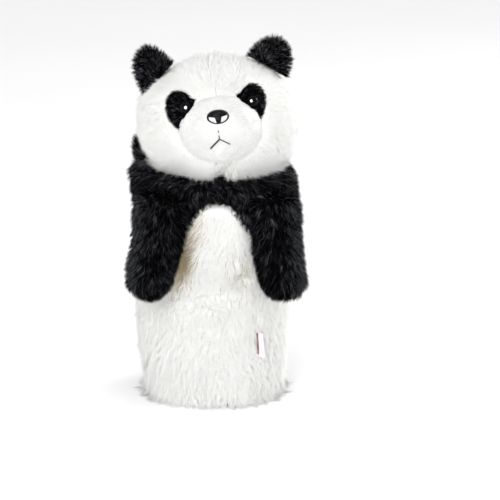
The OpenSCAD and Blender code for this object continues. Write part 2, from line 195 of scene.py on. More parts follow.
def seam_z(x):
    """Height of the front seam over the sleeve, which slopes up to the panda's left."""
    return SLEEVE_TOP + 9 * np.clip(x / 46, -1, 1) * smooth((78 - np.abs(x)) / 28)


def collar(az):
    """1 where the black fur stands up behind the head, at the panda's back and right side."""
    return smooth(((az % 360) - 60) / 50) * smooth((203 - (az % 360)) / 22)


def hollow_lean(z):
    """How far the hollow beside the panda's right arm drifts across at height z."""
    return -0.3 * (155 - z)


def chin_crease(y):
    """Where the crease under the chin is, across the face, at place y up it."""
    return 1 + 0.75 * (y + 52)


def body_skin(az, z, inset=SKIN_INSET):
    """The body's backing cloth, with its belly, chest fold and creased seams."""
    p = body_at(az, np.minimum(z, 236), inset, inset - 8)
    p[..., 2] = np.where(z > 236, z, p[..., 2])
    a = np.radians(az)
    x = p[..., 0]
    front = hill((az % 360) - 270, 0, 30)
    room = smooth(arm_gap(p) / 12)
    out = 5.0 * hill((az % 360) - 268, 0, 20) * hill(z, 168, 32) * room
    out += 4.0 * front * hill(z, 229, 8) - 7.0 * hill((az % 360) - 270, 0, 22) * hill(z, 215, 6)
    out -= 12.0 * hill(x, 27, 14) * hill(z, seam_z(x) + 9, 9) * front
    out += 2.0 * front * hill(z, seam_z(x) - 12, 12) - 0.8 * hill(z, seam_z(x), 5)
    out -= 9.0 * hill(x, -32 + hollow_lean(z), 7) * hill(z, 154, 22) * front
    out += 5.0 * hill((az % 360) - 180, 0, 24) * hill(z, 230, 26)
    out += 1.2 * lumps(p, 60, 3) + 0.6 * lumps(p, 26, 4)
    seam = np.minimum(abs((az - SEAM_LEFT + 180) % 360 - 180), abs((az - SEAM_RIGHT + 180) % 360 - 180))
    out -= 1.3 * hill(seam, 0, 3) * (z < SLEEVE_TOP)
    out *= smooth((240 - z) / 12)
    out += (collar(az) * 11 + 2.5 * hill((az % 360) - 176, 0, 20)) * smooth((z - 222) / 18)
    p = p + stack(np.cos(a) * out, np.sin(a) * out, 0)
    low = smooth((135 - z) / 50)
    p[..., 0] += low * (-3.0 - 2.0 * np.cos(a) * hill(z, 90, 60) + 2.2 * np.minimum(np.cos(a), 0))
    return p


def arch_z(az):
    x = body_at(az, 180 + 0 * az)[..., 0]
    low = seam_z(x)
    return mix(ARCH_TOP, low, np.minimum(1, (x / ARCH_HALF_W) ** 2))


def head_n(rise):
    """Squareness of the head, which is fuller low down."""
    return mix(N_LOW, N_HIGH, smooth((rise / N_BLEND + 1) / 2))


def head_reach(d, inset=0.0):
    n = head_n(d[..., 2])
    total = sum((np.abs(d[..., i]) / (HEAD[i] - inset)) ** n for i in range(3))
    return 1 / total ** (1 / n)


def head_at(az, el, inset=0.0):
    a, e = np.radians(az), np.radians(el)
    n = head_n(np.sin(e))
    d = unit((HEAD - inset) * stack(
        rounded(np.cos(e), n) * rounded(np.cos(a), n),
        rounded(np.cos(e), n) * rounded(np.sin(a), n),
        rounded(np.sin(e), n),
    ))
    return HEAD_C + d * head_reach(d, inset)[..., None]


def from_face(v):
    v = np.asarray(v, float)
    r = stack(
        v[..., 0] * math.cos(ROLL) - v[..., 1] * math.sin(ROLL),
        v[..., 0] * math.sin(ROLL) + v[..., 1] * math.cos(ROLL),
        v[..., 2],
    )
    p = stack(
        r[..., 0],
        -r[..., 2] * math.cos(PITCH) + r[..., 1] * math.sin(PITCH),
        r[..., 2] * math.sin(PITCH) + r[..., 1] * math.cos(PITCH),
    )
    return turned(p, YAW)


FACE_AXES = from_face(np.eye(3))


def to_face(p):
    """Across, up and out of the face, for vectors in the CAD frame."""
    return p @ FACE_AXES.T


def face_dir(x, y):
    out = np.sqrt(np.maximum(0, 1 - (x / HEAD[0]) ** 2 - (y / HEAD[2]) ** 2))
    return unit(from_face(stack(x, y, out * HEAD[1])))


def face_at(x, y, out=0.0):
    d = face_dir(np.asarray(x, float), np.asarray(y, float))
    return HEAD_C + d * (head_reach(d) + out)[..., None]


def face_place(d):
    """The places x across and y up on the face that directions d from the head's centre point at."""
    q = to_face(d)
    k = 1 / np.sqrt(
        (q[..., 0] / HEAD[0]) ** 2 + (q[..., 1] / HEAD[2]) ** 2 + (q[..., 2] / HEAD[1]) ** 2
    )
    return q[..., 0] * k, q[..., 1] * k, q[..., 2]


def muzzle_s(x, y):
    """0 at the middle of the muzzle and 1 on its outline."""
    return np.hypot((x - MUZZLE_MID[0]) / MUZZLE_HALF[0], (y - MUZZLE_MID[1]) / MUZZLE_HALF[1])


def patch_s(side, x, y):
    """0 at the middle of an eye patch and 1 on its outline, which has a point at its inner corner."""
    dx, dy = x - PATCH_X - side * PATCH_MID[0], y - PATCH_MID[1]
    c, s = math.cos(side * PATCH_LEAN), math.sin(side * PATCH_LEAN)
    px, py = (dx * c - dy * s) / PATCH_HALF[0], (dx * s + dy * c) / PATCH_HALF[1]
    reach, width = PATCH_POINTS[side]
    point = reach * hill(np.arctan2(py, -side * px), 0.22, width)
    return np.hypot(px, py) / (1 + point)


def patch_gap(p):
    """How far points are outside the nearer eye patch, on the front of the head."""
    x, y, z = face_place(unit(p - HEAD_C))
    gap = np.minimum(patch_s(1, x, y), patch_s(-1, x, y)) * PATCH_RIM - 13.8
    return np.where(z > 0, gap, FAR)


# Soft pushes of the head's outline, in face places: across, up, width and height of the push
SHAPING = ((-44, 50, 22, -5.0), (-45, -52, 20, -4.0), (70, -42, 26, 3.5), (44, 54, 20, -1.5))


def head_skin(az, el, inset=SKIN_INSET):
    """The head's backing cloth.

    It has a dart on the forehead, full cheeks, a fillet round the muzzle and a crease under the chin.
    """
    p = head_at(az, el, inset)
    d = unit(p - HEAD_C)
    q = to_face(p - HEAD_C)
    x, y, z = q[..., 0], q[..., 1], q[..., 2]
    front = smooth(z / 30)
    out = -1.3 * hill(x, -3, 3.5) * smooth((y - 22) / 25) * smooth((z + 5) / 20)
    out -= 4.5 * hill(x, chin_crease(y), 8) * smooth((-y - 40) / 10) * front
    for cx, cy, wide, push in SHAPING:
        out += push * np.exp(-((x - cx) ** 2 + (y - cy) ** 2) / wide**2) * smooth((z + 45) / 30)
    out += 1.0 * lumps(p, 50, 11) + 0.4 * lumps(p, 22, 12)
    fx, fy, fz = face_place(d)
    rim = (muzzle_s(fx, fy) - 1) * MUZZLE_RIM
    patch = smooth((1.2 - np.minimum(patch_s(1, fx, fy), patch_s(-1, fx, fy))) / 0.15)
    out += (fz > 0) * (5.5 * hill(np.maximum(rim, 0), 0, 13) * (1 - patch) - 1.5 * patch)
    return p + d * out[..., None]


def arm_skin(side, az, v, inset=SKIN_INSET):
    """An arm's backing cloth at turn az and v from the shoulder to the paw."""
    cap, cap_end = 0.28, 88.5
    a = np.radians(az)
    t = np.clip((v - cap) / (1 - 2 * cap), 0, 1)
    lat = np.where(v > 1 - cap, -cap_end * (v - 1 + cap) / cap, 0)
    lat = np.radians(np.where(v < cap, cap_end * (1 - v / cap), lat))
    blunt = np.where(v > 0.5, 2.5, 2.0)
    wide, deep = rounded(np.cos(lat), blunt), rounded(np.sin(lat), blunt)
    half_t = mix(ARM_T, PAW_T, t)
    waist = 1 - 0.07 * hill(t, 0.35, 0.25) + 0.03 * hill(t, 1.0, 0.4)
    x = (ARM_W - inset + 1.0) * waist * wide * np.cos(a)
    inner = np.clip(-side * x / (ARM_W - inset), 0, 1)
    x += side * inner * (8.0 * smooth((v - 0.5) / 0.4) - (5.0 if side < 0 else 1.0) * hill(v, 0.42, 0.16))
    p = stack(
        side * ARM_DRIFT[0] * t + x,
        ARM_DRIFT[1] * t + (half_t - inset) * waist * wide * np.sin(a),
        -ARM_LEN * t + (half_t - inset) * deep,
    )
    p[..., 0] += side * (-0.6 if side > 0 else 2.5) * smooth(t) + (1.5 if side > 0 else 0)
    p = shoulder_at(side) + turned(p, side * ARM_TURN)
    out = 1.1 * lumps(p, 34, 21 + side) + 0.5 * lumps(p, 15, 23)
    return p + unit(p - p.reshape(-1, 3).mean(0)) * out[..., None]


def ear_skin(side, u, v, front):
    """A cupped ear: u runs round it and v from its foot's middle to its rim."""
    base = from_face(np.array([FACE_MID + side * EAR_AT[0], EAR_AT[1], EAR_AT[2]]))
    d = unit(base)
    foot = HEAD_C + d * (head_reach(d) - 10.0)
    lean = EAR_LEAN + side * EAR_TILT
    wide, tall, shear, shift_x, shift_y = EAR_SHAPES[side]
    a = np.pi * u
    s = mix(0.03, 1, v)
    r = EAR_R - 2.8
    rise = np.maximum(np.sin(a), 0)
    across = wide * r * s * np.cos(a) - shear * s * rise
    up = tall * r * s * rise + 4.0
    cup = 2.5 - 6.5 * (1 - s**2) * rise
    half = 0.8 + 3.6 * np.sqrt(np.maximum(0, 1 - s**4))
    h = cup + (half if front else -half)
    x = across * math.sin(lean) + up * math.cos(lean)
    y = -across * math.cos(lean) + up * math.sin(lean)
    return foot + from_face(stack(side * x + shift_x, y + shift_y, h))


def disc(u, v):
    a, b = 2 * u - 1, 2 * v - 1
    return a * np.sqrt(1 - b * b / 2), b * np.sqrt(1 - a * a / 2)


# ---- Meshes ----


def new_object(name, mesh, mats, body):
    for m in mats:
        mesh.materials.append(m)
    obj = bpy.data.objects.new(name, mesh)
    bpy.context.scene.collection.objects.link(obj)
    if body:
        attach(obj, body)
    return obj


def add_mesh(name, pts, faces, mats, body, index=None):
    mesh = bpy.data.meshes.new(name)
    mesh.from_pydata((np.asarray(pts, float).reshape(-1, 3) * MM).tolist(), [], faces)
    obj = new_object(name, mesh, mats, body)
    if index is not None:
        mesh.polygons.foreach_set("material_index", np.asarray(index, np.int32))
    mesh.polygons.foreach_set("use_smooth", np.ones(len(mesh.polygons), bool))
    mesh.update()
    return obj


def grid_normals(p, centre):
    n = np.cross(np.gradient(p, axis=0), np.gradient(p, axis=1))
    weak = np.linalg.norm(n, axis=-1) < 1e-4
    n = unit(n)
    away = p - centre
    if np.sum(n[~weak] * away[~weak]) < 0:
        n = -n
    n[weak] = unit(away[weak])
    return n


def grid_quads(nu, nv, first=0, flip=False, closed=False):
    i, j = np.meshgrid(np.arange(nu if closed else nu - 1), np.arange(nv - 1), indexing="ij")
    k = (i + 1) % nu
    f = np.stack([i * nv + j, k * nv + j, k * nv + j + 1, i * nv + j + 1], -1).reshape(-1, 4) + first
    return (f[:, ::-1] if flip else f).tolist()


def shell(name, p, mats, body, thick=SKIN_T, centre=None, closed=False, index=None):
    """A thin closed solid whose outside is the grid p."""
    nu, nv = p.shape[:2]
    centre = p.reshape(-1, 3).mean(0) if centre is None else np.asarray(centre, float)
    n = grid_normals(p, centre)
    mid = nv // 2
    turn = np.sum(np.cross(p[1, mid] - p[0, mid], p[0, mid + 1] - p[0, mid]) * n[0, mid]) < 0
    first = nu * nv
    faces = grid_quads(nu, nv, 0, turn, closed) + grid_quads(nu, nv, first, not turn, closed)
    ends = []
    for j in (0, nv - 1):
        edge = [i * nv + j for i in range(nu)] + ([j] if closed else [])
        ends.append((edge, (j == 0) != turn))
    if not closed:
        for i in (0, nu - 1):
            ends.append(([i * nv + j for j in range(nv)], (i == 0) == turn))
    for edge, flip in ends:
        for a, b in zip(edge, edge[1:]):
            quad = [a, b, b + first, a + first]
            faces.append(quad if not flip else quad[::-1])
    both = None
    if index is not None:
        both = np.zeros(len(faces), np.int32)
        both[: len(index)] = index
    pts = np.concatenate([p.reshape(-1, 3), (p - n * thick).reshape(-1, 3)])
    return add_mesh(name, pts, faces, mats, body, both)


def uv(nu, nv):
    return np.meshgrid(np.linspace(0, 1, nu), np.linspace(0, 1, nv), indexing="ij")


def cell_areas(p):
    """The area of each cell of the grid p."""
    return np.linalg.norm(np.cross(p[1:, 1:] - p[:-1, :-1], p[1:, :-1] - p[:-1, 1:]), axis=-1) / 2


def sample(p, count, rng, centre):
    """Places spread evenly over the grid p: points, normals and grid shares u and v."""
    n = grid_normals(p, centre)
    cum = np.cumsum(cell_areas(p).ravel())
    pick = np.searchsorted(cum, (np.arange(count) + rng.random(count)) / count * cum[-1])
    i, j = np.divmod(np.minimum(pick, cum.size - 1), p.shape[1] - 1)
    s, t = rng.random((2, count, 1))

    def at(g):
        return mix(mix(g[i, j], g[i + 1, j], s), mix(g[i, j + 1], g[i + 1, j + 1], s), t)

    u = (i + s[:, 0]) / (p.shape[0] - 1)
    v = (j + t[:, 0]) / (p.shape[1] - 1)
    return at(p), unit(at(n)), u, v


# One strand: a foot and a middle ring of three points each, and a tip
SPIKE = [(0, 2, 1), (0, 1, 4, 3), (1, 2, 5, 4), (2, 0, 3, 5), (3, 4, 6), (4, 5, 6), (5, 3, 6)]
STRANDS_PER_PIECE = 19000
# How common each of 2, 3 or 4 shades of strand is
SHARES = {2: (0.5, 0.5), 3: (0.4, 0.35, 0.25), 4: (0.48, 0.25, 0.17, 0.10)}
DARK_SHARES = (0.66, 0.20, 0.10, 0.04)


def pile(name, body, slot, mats, root, normal, flow, length, lean, seed,
         radius=0.22, clump=4.0, pull=0.35, wander=10.0, soft=0.8,
         floor=None, last_mat_share=None, gap=None, odds=None):
    """Strands of fur as closed tapering spikes, gathered in tufts.

    Lean is in degrees from the normal, at the foot and at the tip. Strands that near what gap
    measures are shortened. With last_mat_share, the last of mats goes to that share of the strands;
    the body and chin use it for painted shade and the arms for a painted highlight.
    """
    rng = np.random.default_rng(seed)
    order = rng.permutation(len(root))
    parts = max(1, math.ceil(len(root) / STRANDS_PER_PIECE))
    flow = unit(flow - normal * np.sum(flow * normal, -1, keepdims=True))
    swing = wander * lumps(root, 26, seed + 1) + 0.6 * wander * lumps(root, 11, seed + 2)
    centres = rng.permutation(len(root))[: max(4, int(len(root) / (clump * clump)))]
    tree = KDTree(len(centres))
    for k, c in enumerate(centres):
        tree.insert(root[c], k)
    tree.balance()
    tuft = np.array([tree.find(p)[1] for p in root])
    heart = centres[tuft]
    swing = swing + rng.normal(0, 0.7 * wander, len(centres))[tuft] + rng.normal(0, 5, len(root))
    a = np.radians(swing)[:, None]
    flow = flow * np.cos(a) + np.cross(normal, flow) * np.sin(a)
    extra = (rng.normal(0, 6, len(centres))[tuft] + rng.normal(0, 5, len(root)))
    low, high = (np.radians(np.clip(x + extra, 5, 88))[:, None] for x in lean)
    length = length * (1 + rng.normal(0, 0.08, len(centres))[tuft] + rng.normal(0, 0.1, len(root)))
    d0 = normal * np.cos(low) + flow * np.sin(low)
    d1 = normal * np.cos(high) + flow * np.sin(high)
    foot = root - normal * 0.5
    mid = foot + d0 * (length * 0.45)[:, None]
    tip = mid + d1 * (length * 0.6)[:, None]
    k = np.broadcast_to(pull * (0.6 + 0.4 * rng.random(len(root))), len(root))[:, None]
    mid = mid + (mid[heart] - mid) * k * 0.3
    tip = tip + (tip[heart] - tip) * k
    if floor is not None:
        for end in (mid, tip):
            short = np.maximum(floor + rng.random(len(root)) * 1.5 - end[:, 2], 0)
            end += normal * (short * 0.75)[:, None]
            end[:, 2] = np.maximum(end[:, 2], floor + 0.5 * rng.random(len(root)))
    if gap is not None:
        for _ in range(2):
            near = (gap(tip) < 1.5) & (gap(root) > gap(tip))
            tip[near] = mix(foot[near], tip[near], 0.65)
            mid[near] = mix(foot[near], mid[near], 0.65)
    side = unit(np.cross(d0, normal) + 1e-6)
    face = unit(np.cross(d1, side))
    r = radius * (0.8 + 0.4 * rng.random(len(root)))
    verts = np.empty((len(root), 7, 3))
    norms = np.empty((len(root), 7, 3))
    for ring, (at, size) in enumerate(((foot, 1.0), (mid, 0.8))):
        for c in range(3):
            b = 2 * math.pi * c / 3 + 0.5
            off = side * math.cos(b) + face * math.sin(b)
            verts[:, ring * 3 + c] = at + off * (r * size)[:, None]
            norms[:, ring * 3 + c] = off
    verts[:, 6] = tip
    norms[:, 6] = unit(normal)
    norms = unit(mix(norms, normal[:, None, :], soft))
    kinds = len(mats) - (last_mat_share is not None)
    odds = SHARES[kinds] if odds is None else odds
    shade = rng.choice(kinds, len(centres), p=odds)[tuft]
    lone = rng.random(len(root)) < 0.5
    shade[lone] = rng.choice(kinds, lone.sum(), p=odds)
    if last_mat_share is not None:
        shade[rng.random(len(root)) < last_mat_share] = kinds
    for part in range(parts):
        pick = order[part::parts]
        piece = name + (f"_{part + 1}" if parts > 1 else "")
        spikes(piece, body, mats, verts[pick], norms[pick], shade[pick])


def spikes(name, body, mats, verts, norms, shade):
    n = len(verts)
    mesh = bpy.data.meshes.new(name)
    mesh.vertices.add(n * 7)
    mesh.vertices.foreach_set("co", (verts * MM).astype(np.float32).ravel())
    loops = np.array([v for f in SPIKE for v in f])
    starts = np.cumsum([0] + [len(f) for f in SPIKE])[:-1]
    mesh.loops.add(n * len(loops))
    mesh.loops.foreach_set("vertex_index", (loops[None] + 7 * np.arange(n)[:, None]).ravel().astype(np.int32))
    mesh.polygons.add(n * len(SPIKE))
    starts = (starts[None] + len(loops) * np.arange(n)[:, None]).ravel()
    mesh.polygons.foreach_set("loop_start", starts.astype(np.int32))
    mesh.update(calc_edges=True)
    new_object(name, mesh, mats, body)
    mesh.polygons.foreach_set("material_index", np.repeat(shade, len(SPIKE)).astype(np.int32))
    mesh.polygons.foreach_set("use_smooth", np.ones(n * len(SPIKE), bool))
    mesh.normals_split_custom_set_from_vertices(norms.reshape(-1, 3).astype(np.float32))
    mesh.update()


# ---- Materials ----


def principled(name, color, rough, spec=0.5):
    m = bpy.data.materials.new(name)
    m.use_nodes = True
    b = m.node_tree.nodes["Principled BSDF"]
    b.inputs["Base Color"].default_value = (*color, 1)
    b.inputs["Roughness"].default_value = rough
    b.inputs["Specular IOR Level"].default_value = spec
    m.diffuse_color = (*color, 1)
    return m


def woven(name, low, high, rough, scale, bump=0.3, kind="noise", spec=0.5):
    """A cloth, foam or moulded material whose colour and bump come from a procedural pattern, over an even
    roughness.
    """
    m = principled(name, high, rough, spec)
    nt = m.node_tree
    b = nt.nodes["Principled BSDF"]
    place = nt.nodes.new("ShaderNodeTexCoord")
    if kind == "noise":
        tex = nt.nodes.new("ShaderNodeTexNoise")
        tex.inputs["Scale"].default_value = scale
        tex.inputs["Detail"].default_value = 5
        out = tex.outputs["Fac"]
    elif kind == "wave":
        tex = nt.nodes.new("ShaderNodeTexWave")
        tex.inputs["Scale"].default_value = scale
        tex.inputs["Distortion"].default_value = 1.5
        out = tex.outputs["Fac"]
    else:
        tex = nt.nodes.new("ShaderNodeTexVoronoi")
        tex.inputs["Scale"].default_value = scale
        out = tex.outputs["Distance"]
    nt.links.new(place.outputs["Object"], tex.inputs["Vector"])
    ramp = nt.nodes.new("ShaderNodeValToRGB")
    ramp.color_ramp.elements[0].position, ramp.color_ramp.elements[1].position = 0.3, 0.7
    ramp.color_ramp.elements[0].color, ramp.color_ramp.elements[1].color = (*low, 1), (*high, 1)
    nt.links.new(out, ramp.inputs["Fac"])
    nt.links.new(ramp.outputs["Color"], b.inputs["Base Color"])
    rise = nt.nodes.new("ShaderNodeBump")
    rise.inputs["Strength"].default_value = bump
    rise.inputs["Distance"].default_value = 0.0006
    nt.links.new(out, rise.inputs["Height"])
    nt.links.new(rise.outputs["Normal"], b.inputs["Normal"])
    return m


WHITE_BACKING = woven("white_backing", (0.80, 0.79, 0.75), (0.93, 0.93, 0.90), 0.95, 900)
BLACK_BACKING = woven("black_backing", (0.001, 0.001, 0.0012), (0.004, 0.004, 0.005), 0.95, 900, spec=0.05)
SHORT_BACKING = woven("short_pile_backing", (0.66, 0.65, 0.62), (0.74, 0.74, 0.72), 0.9, 1400)
LINING_KNIT = woven("lining_knit", (0.008, 0.008, 0.010), (0.05, 0.05, 0.058), 0.85, 700, 0.8, "wave")
TAPE = woven("hem_tape", (0.62, 0.62, 0.60), (0.86, 0.86, 0.84), 0.85, 1200, 0.6, "wave")
FILLING = woven("polyester_fill", (0.75, 0.74, 0.70), (0.92, 0.91, 0.88), 1.0, 300, 0.8)
FOAM = woven("padding_foam", (0.62, 0.56, 0.34), (0.82, 0.76, 0.52), 0.95, 1100, 0.9, "cells")
WASHER = woven("washer_plastic", (0.72, 0.72, 0.72), (0.84, 0.84, 0.84), 0.4, 500, 0.1)
THREAD = woven("mouth_thread", (0.012, 0.012, 0.014), (0.05, 0.048, 0.05), 0.6, 2500, 0.6)
GLOSS = woven("gloss_black", (0.001, 0.001, 0.001), (0.002, 0.002, 0.002), 0.06, 350, 0.01, spec=0.06)
NOSE_BLACK = woven("nose_black", (0.001, 0.001, 0.001), (0.003, 0.003, 0.003), 0.3, 420, 0.04, spec=0.12)
# Painted reflection: the pale colour of the nose's nostril facets
NOSE_PAINTED_REFLECTION = woven("nose_painted_reflection", (0.50, 0.50, 0.50), (0.72, 0.72, 0.72), 0.4, 300, 0.05)
LABEL_WHITE = principled("label_weave", (0.78, 0.72, 0.76), 0.7)
LABEL_RED = principled("label_weave_red", (0.12, 0.002, 0.008), 0.7, 0.1)
LABEL_GREY = principled("label_weave_grey", (0.42, 0.40, 0.42), 0.7)

WHITE_PILE = [
    principled("white_pile_bright", (0.96, 0.96, 0.945), 0.9, 0.15),
    principled("white_pile_cream", (0.95, 0.945, 0.905), 0.9, 0.15),
    principled("white_pile_cool", (0.93, 0.935, 0.93), 0.9, 0.15),
]
HEAD_PILE = [
    principled("head_pile_bright", (0.94, 0.94, 0.93), 0.9, 0.15),
    principled("head_pile_cream", (0.93, 0.928, 0.895), 0.9, 0.15),
    principled("head_pile_cool", (0.91, 0.915, 0.91), 0.9, 0.15),
]
# Painted shade: a brown copy of the white pile, for strands in the hollows beside the arms and under the chin
PAINTED_SHADE_PILE = principled("white_pile_painted_shade", (0.50, 0.41, 0.26), 0.9, 0.1)
SHORT_PILE = [
    principled("short_white_bright", (0.795, 0.795, 0.79), 0.9, 0.1),
    principled("short_white_soft", (0.775, 0.775, 0.765), 0.9, 0.1),
]
BLACK_PILE = [
    principled("black_pile_deep", (0.0012, 0.0012, 0.0015), 0.6, 0.0),
    principled("black_pile_mid", (0.003, 0.003, 0.0038), 0.5, 0.06),
    principled("black_pile_soft", (0.012, 0.0125, 0.015), 0.5, 0.15),
    principled("black_pile_sheen", (0.06, 0.063, 0.072), 0.4, 0.35),
]

for node, material in {
    "foam_padding": FOAM, "head_stuffing": FILLING,
    "nose_washer": WASHER, "eye_washer_left": WASHER, "eye_washer_right": WASHER,
}.items():
    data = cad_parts[node].data
    data.materials.clear()
    data.materials.append(material)

# ---- Body panels ----

DOWN = np.array([0.0, 0.0, -1.0])


def body_panel(node, az0, az1, low, high, nu, nv, kind, seed, density, length):
    """One fur panel of the body between two turns, from height low(az) to height high(az)."""
    mats, backing, slot = kind
    white = mats is WHITE_PILE
    u, v = uv(nu, nv)
    az = mix(az0, az1, u)
    p = body_skin(az, mix(low(az), high(az), v))
    centre = np.array([0, 0, p[..., 2].mean()])
    # Each panel's rim dips a little where it is sewn
    across = np.minimum(u, 1 - u) * (az1 - az0) * 1.3
    along = np.minimum(v, 1 - v) * (high(az) - low(az))
    dip = 0.3 if white else 0.8
    p = p - grid_normals(p, centre) * (dip * hill(np.minimum(across, along), 0, 3.5))[..., None]
    skin = shell(node + "_skin", p, [backing], "cover", centre=centre)
    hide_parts(node)
    rng = np.random.default_rng(seed)
    root, normal, ru, _ = sample(p, int(cell_areas(p).sum() * density), rng, centre)
    az = mix(az0, az1, ru)
    a = np.radians(az)
    rise = (smooth((root[:, 2] - 238) / 8) * collar(az))[:, None]
    flow = mix(DOWN, -0.6 * DOWN, rise) + (0.12 + 0.5 * rise) * stack(np.cos(a), np.sin(a), 0)
    flow = flow + 0.2 * unit(rng.normal(size=root.shape))
    size = length * (1 + 0.08 * lumps(root, 40, seed + 9))
    last_mat_share = None
    if white:
        size *= 0.45 + 0.55 * smooth(arm_gap(root) / 9)
        hem = smooth((20 - root[:, 2]) / 20)
        size += 5.0 * hem
        # Painted shade: brown strands in the hollow beside the right arm, where the arm shades the belly, and
        # a few in the fold beside the left one
        x, z, front = root[:, 0], root[:, 2], root[:, 1] < -20
        last_mat_share = 1.2 * hill(x, -31 + hollow_lean(z), 9.0) * hill(z, 158, 32) * front
        last_mat_share += 0.26 * hill(x, 28, 15) * hill(z, 142, 20) * front
        edge = arch_z(az) - root[:, 2]
        top = (hill(edge, 0, 9) * (az > 228) * (az < 312) * (root[:, 2] > SLEEVE_TOP + 12))[:, None]
        flow = mix(flow, unit(stack(root[:, 0] * 1.4, -12, root[:, 2] - 165)), 0.85 * top)
        size *= 1 - 0.45 * top[:, 0]
        mats = mats + [PAINTED_SHADE_PILE]
        style = dict(clump=3.6, pull=0.3 + 0.35 * hem, wander=24, soft=0.88, gap=arm_gap)
    else:
        edge = root[:, 2] - arch_z(az)
        size *= 1 - 0.55 * hill(edge, 0, 7) * (root[:, 1] < -30)
        style = dict(clump=3.2, pull=0.38, wander=26, soft=0.45, radius=0.2)
    lean = (36, 66) if white else (28, 54)
    pile(node + "_pile", "cover", slot, mats, root, normal, flow, size, lean, seed,
         floor=0.4, last_mat_share=last_mat_share, **style)


def flat_at(z):
    return lambda az: z + 0 * az


def sleeve_top(az):
    x = body_at(az, SLEEVE_TOP + 0 * az)[..., 0]
    return np.where(np.sin(np.radians(az)) < 0, seam_z(x), SLEEVE_TOP)


def belly_top(az):
    return np.maximum(arch_z(az), sleeve_top(az) + 1) - SEAM_GAP


def yoke_low(az):
    return arch_z(az) + SEAM_GAP


def yoke_top(az):
    return NECK_Z + 22 * collar(az)


WHITE = (WHITE_PILE, WHITE_BACKING, "white_long_pile")
BLACK = (BLACK_PILE, BLACK_BACKING, "black_long_pile")
BODY_HEM = flat_at(HEM_H - 1)
body_panel("sleeve_front", SEAM_RIGHT + SEAM_GAP, SEAM_LEFT - SEAM_GAP, BODY_HEM, sleeve_top, 76, 56,
           WHITE, 100, 1.35, SLEEVE_FUR)
body_panel("sleeve_back", SEAM_LEFT - (360 - SEAM_GAP), SEAM_RIGHT - SEAM_GAP, BODY_HEM, sleeve_top, 110, 56,
           WHITE, 110, 0.9, SLEEVE_FUR)
body_panel("belly_panel", 229.0, 311.0, sleeve_top, belly_top, 40, 36, WHITE, 120, 1.35, BODY_FUR)
body_panel("yoke_front", 180 + SEAM_GAP, 360 - SEAM_GAP, yoke_low, yoke_top, 90, 40,
           BLACK, 130, 1.7, BODY_FUR)
body_panel("yoke_back", 0, 180, flat_at(SLEEVE_TOP + SEAM_GAP), yoke_top, 90, 44,
           BLACK, 140, 1.2, BODY_FUR)

# ---- Head ----

NECK_EL = -math.degrees(math.asin(((HEAD_C[2] - NECK_Z - 0.5) / HEAD[2]) ** (N_LOW / 2)))


def head_flow(root, rng):
    """Fur brushed away from the nose over the face, and down at the back and low on the cheeks."""
    q = to_face(root - HEAD_C)
    across = unit(stack(q[:, 0] - NOSE_AT[0], q[:, 1] + 4, 0 * q[:, 0])) @ FACE_AXES
    back = smooth((20 - q[:, 2]) / 60)[:, None]
    up = smooth((q[:, 1] - 10) / 40)[:, None]
    over = from_face(np.array([0.0, 0.0, -1.0]))
    return across + over * up * 0.8 + DOWN * (0.3 + 0.9 * back) + 0.18 * unit(rng.normal(size=root.shape))


def head_panel(node, az0, az1, nu, nv, seed, density):
    u, v = uv(nu, nv)
    p = head_skin(mix(az0, az1, u), mix(NECK_EL, 89.6, v))
    skin = shell(node + "_skin", p, [WHITE_BACKING], "cover", centre=HEAD_C)
    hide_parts(node)
    rng = np.random.default_rng(seed)
    root, normal = sample(p, int(cell_areas(p).sum() * density), rng, HEAD_C)[:2]
    x, y, z = face_place(unit(root - HEAD_C))
    front = z > 0
    keep = ~(front & (muzzle_s(x, y) < 0.985))
    for side in (1, -1):
        keep &= ~(front & (patch_s(side, x, y) < 0.95))
    root, normal, x, y, front = (a[keep] for a in (root, normal, x, y, front))
    near = np.where(front, np.minimum(patch_s(1, x, y), patch_s(-1, x, y)) * PATCH_RIM - 14, FAR)
    rim = np.where(front, (muzzle_s(x, y) - 1) * MUZZLE_RIM, FAR)
    size = mix(3.4, 11.0, smooth(near / 18)) * mix(0.62, 1, smooth(rim / 16))
    size = size * (1 + 0.06 * lumps(root, 40, seed + 9))
    jaw = smooth((258 - root[:, 2]) / 14) * (root[:, 1] < 20)
    size += 7.0 * jaw
    flow = head_flow(root, rng)
    q = to_face(root - HEAD_C)
    part = (hill(q[:, 0], -3, 9) * smooth((q[:, 1] - 24) / 20) * np.sign(q[:, 0] + 3))[:, None]
    flow = unit(flow) + 0.45 * part * FACE_AXES[0]
    lean = mix(44, 34, jaw)
    # Painted shade: a few brown strands along the crease under the chin, where it lies in shadow
    last_mat_share = 0.16 * hill(q[:, 0], chin_crease(q[:, 1]), 7) * smooth((-q[:, 1] - 40) / 6) * (q[:, 2] > 0)
    pile(node + "_pile", "cover", "white_long_pile", HEAD_PILE + [PAINTED_SHADE_PILE], root, normal, flow, size,
         (lean, lean + 26), seed, clump=3.4, pull=0.25 + 0.25 * jaw, wander=14, soft=0.9,
         gap=patch_gap, last_mat_share=last_mat_share)


head_panel("face_right", 180.1, 269.9, 56, 72, 200, 1.6)
head_panel("face_left", 270.1, 359.9, 56, 72, 210, 1.6)
head_panel("head_back", 0, 180, 90, 64, 220, 1.0)

# ---- Muzzle ----


